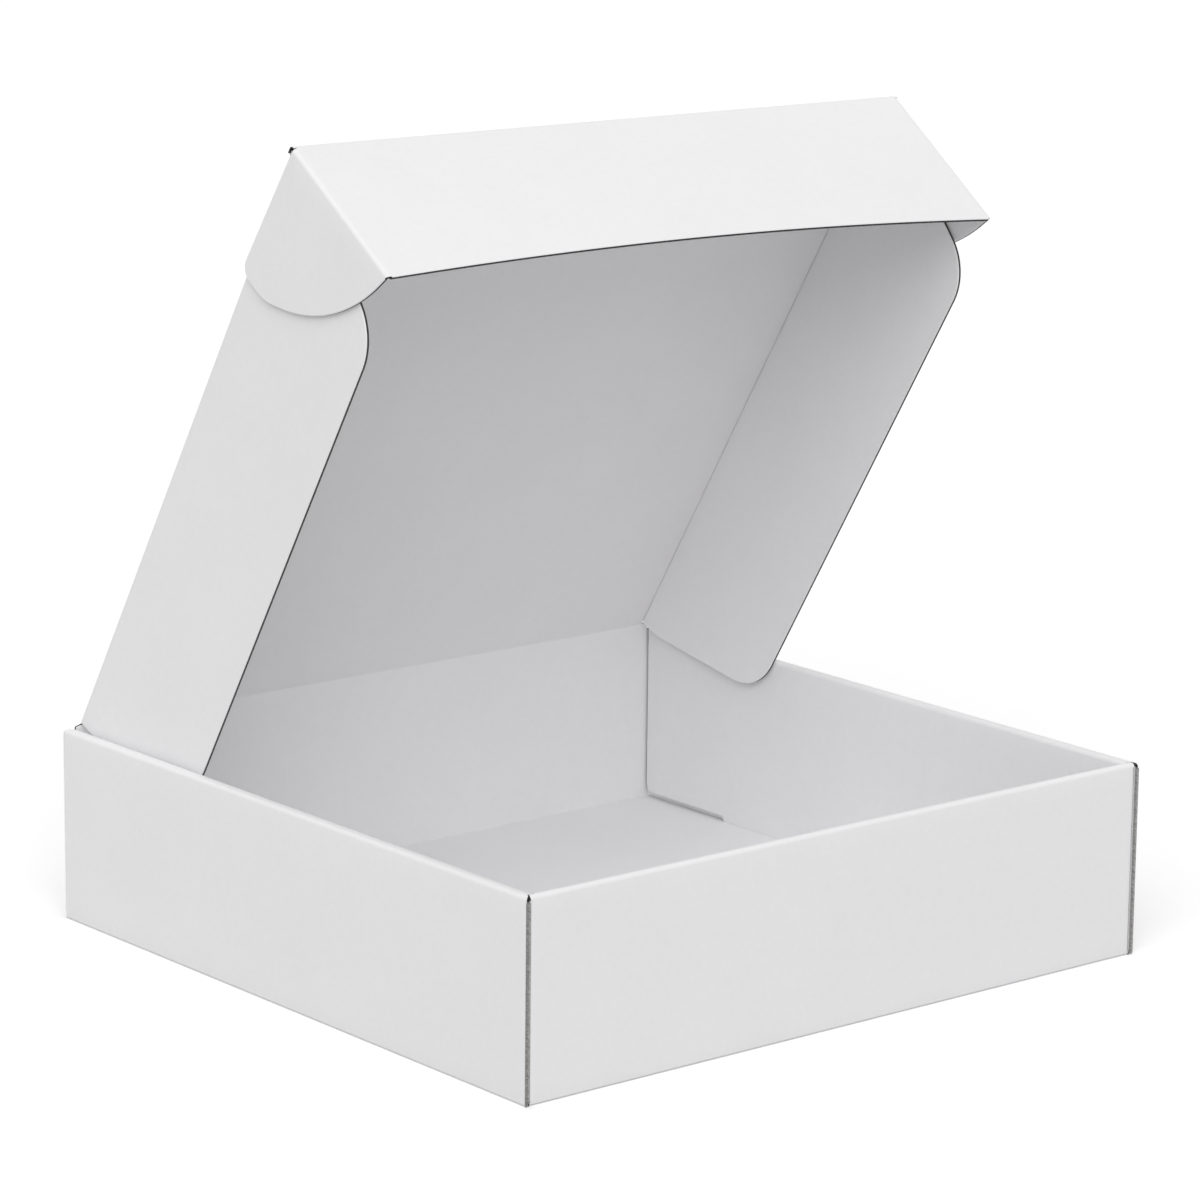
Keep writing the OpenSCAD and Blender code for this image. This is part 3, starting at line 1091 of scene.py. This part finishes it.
class MAILER_OT_lid(bpy.types.Operator):
    """Build the lid: panel, wings, tuck flap and ears"""

    bl_idname = "mailer.lid"
    bl_label = "Build the lid"

    def execute(self, context):
        """Fold the lid's panels and give them to the lid's body."""
        board, _, lid, layers, piece = set_out(context.scene)
        lid_sheet(piece, board, lid, layers)
        tuck_sheet(piece, board, lid, layers)
        made = piece.build("lid_board")
        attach(made, "lid")
        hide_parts("lid")
        return {"FINISHED"}


class MAILER_OT_crease(bpy.types.Operator):
    """Build the crease that bends between the back wall and the lid"""

    bl_idname = "mailer.crease"
    bl_label = "Build the hinge crease"

    def execute(self, context):
        """Bend the strip of board at the hinge."""
        _, _, lid, layers, piece = set_out(context.scene)
        crease_sheet(piece, lid, layers)
        made = piece.build("hinge_crease")
        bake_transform(made)
        return {"FINISHED"}


class MAILER_OT_studio(bpy.types.Operator):
    """Set up the camera, the lamps, the pale floor and the white surroundings"""

    bl_idname = "mailer.studio"
    bl_label = "Set up the studio"

    def execute(self, context):
        """Make the stage and point the camera as the photograph was taken."""
        studio = context.scene.mailer_studio
        context.scene.view_settings.view_transform = "Standard"
        set_camera(context.scene, studio)
        set_sky(context.scene, studio)
        set_floor(context.scene, studio)
        set_lamps(context.scene, studio)
        return {"FINISHED"}


def set_camera(scene, studio):
    """The camera at the photograph's angle."""
    data = bpy.data.cameras.new("camera")
    data.lens = studio.camera_lens
    data.sensor_width = 36
    camera = bpy.data.objects.new("camera", data)
    azimuth = studio.camera_azimuth
    elevation = studio.camera_elevation
    flat = math.cos(elevation)
    behind = Vector((math.sin(azimuth) * flat, -math.cos(azimuth) * flat, math.sin(elevation)))
    turn = (-behind).to_track_quat("-Z", "Y").to_matrix().to_4x4()
    roll = Matrix.Rotation(studio.camera_roll, 4, "Z")
    camera.matrix_world = Matrix.Translation(studio.camera_place) @ turn @ roll
    scene.collection.objects.link(camera)
    scene.camera = camera


def set_sky(scene, studio):
    """An even sky, which the camera and shiny surfaces see as plain white."""
    world = bpy.data.worlds.new("sky")
    scene.world = world
    sky = Shading(world)
    lit = sky.nodes["Background"]
    seen = sky.nodes.new("ShaderNodeBackground")
    for shader, strength in ((lit, studio.sky_strength), (seen, 1)):
        shader.inputs["Color"].default_value = (1, 1, 1, 1)
        shader.inputs["Strength"].default_value = strength
    mix = sky.nodes.new("ShaderNodeMixShader")
    sky.join(sky.seen_directly(), mix.inputs[0])
    sky.join(lit.outputs[0], mix.inputs[1])
    sky.join(seen.outputs[0], mix.inputs[2])
    sky.join(mix.outputs[0], sky.nodes["World Output"].inputs["Surface"])


def set_floor(scene, studio):
    """A wide pale floor with the faintest unevenness."""
    reach = studio.floor_reach
    mesh = bpy.data.meshes.new("floor")
    corners = [(-reach, -reach, 0), (reach, -reach, 0), (reach, reach, 0), (-reach, reach, 0)]
    mesh.from_pydata(corners, [], [(0, 1, 2, 3)])
    floor = bpy.data.objects.new("floor", mesh)
    material = bpy.data.materials.new("studio_floor")
    surface = Shading(material)
    tone = surface.mapped(surface.noise(scale=60, detail=3), 0.997, 1.003)
    mix = surface.nodes.new("ShaderNodeMix")
    mix.data_type = "RGBA"
    seen = surface.seen_directly()
    surface.join(seen, mix.inputs["Factor"])
    surface.join(surface.shaded(studio.floor_lit, tone), mix.inputs[6])
    surface.join(surface.shaded(studio.floor_seen, tone), mix.inputs[7])
    shader = surface.nodes["Principled BSDF"]
    surface.join(mix.outputs[2], shader.inputs["Base Color"])
    shader.inputs["Emission Color"].default_value = (1, 1, 1, 1)
    glow = surface.calculated("MULTIPLY", seen, studio.floor_glow)
    surface.join(glow, shader.inputs["Emission Strength"])
    shader.inputs["Roughness"].default_value = 1
    shader.inputs["Specular IOR Level"].default_value = 0
    mesh.materials.append(material)
    scene.collection.objects.link(floor)


def set_lamps(scene, studio):
    """One wide soft lamp far above, a little to the front and left."""
    data = bpy.data.lights.new("key", "SUN")
    data.energy = studio.key_strength
    data.angle = studio.key_spread
    lamp = bpy.data.objects.new("key", data)
    lamp.rotation_euler = (-Vector(studio.key_from)).to_track_quat("-Z", "Y").to_euler()
    scene.collection.objects.link(lamp)


class MAILER_PT_panel(bpy.types.Panel):
    """The steps that build the mailer, with their sizes and colours"""

    bl_idname = "MAILER_PT_panel"
    bl_label = "Tuck-front mailer"
    bl_space_type = "VIEW_3D"
    bl_region_type = "UI"
    bl_category = "Mailer"

    def draw(self, context):
        """List the operators, each group with its settings."""
        scene = context.scene
        groups = (
            (scene.mailer_board, ()),
            (scene.mailer_tray, ("mailer.tray",)),
            (scene.mailer_lid, ("mailer.lid", "mailer.crease")),
            (scene.mailer_studio, ("mailer.studio",)),
        )
        for settings, operators in groups:
            box = self.layout.box()
            for name in type(settings).__annotations__:
                box.prop(settings, name)
            for operator in operators:
                box.operator(operator)


SETTINGS = {
    "mailer_board": BoardSettings,
    "mailer_tray": TraySettings,
    "mailer_lid": LidSettings,
    "mailer_studio": StudioSettings,
}
OPERATORS = (MAILER_OT_tray, MAILER_OT_lid, MAILER_OT_crease, MAILER_OT_studio)


def register():
    """Add the settings, operators and panel to Blender."""
    for name, settings in SETTINGS.items():
        bpy.utils.register_class(settings)
        setattr(bpy.types.Scene, name, bpy.props.PointerProperty(type=settings))
    for operator in OPERATORS:
        bpy.utils.register_class(operator)
    bpy.utils.register_class(MAILER_PT_panel)


def unregister():
    """Take them away again."""
    bpy.utils.unregister_class(MAILER_PT_panel)
    for operator in reversed(OPERATORS):
        bpy.utils.unregister_class(operator)
    for name, settings in reversed(SETTINGS.items()):
        delattr(bpy.types.Scene, name)
        bpy.utils.unregister_class(settings)


def main():
    """Build everything in order."""
    register()
    bpy.ops.mailer.studio()
    bpy.ops.mailer.tray()
    bpy.ops.mailer.lid()
    bpy.ops.mailer.crease()


if __name__ == "__main__":
    main()
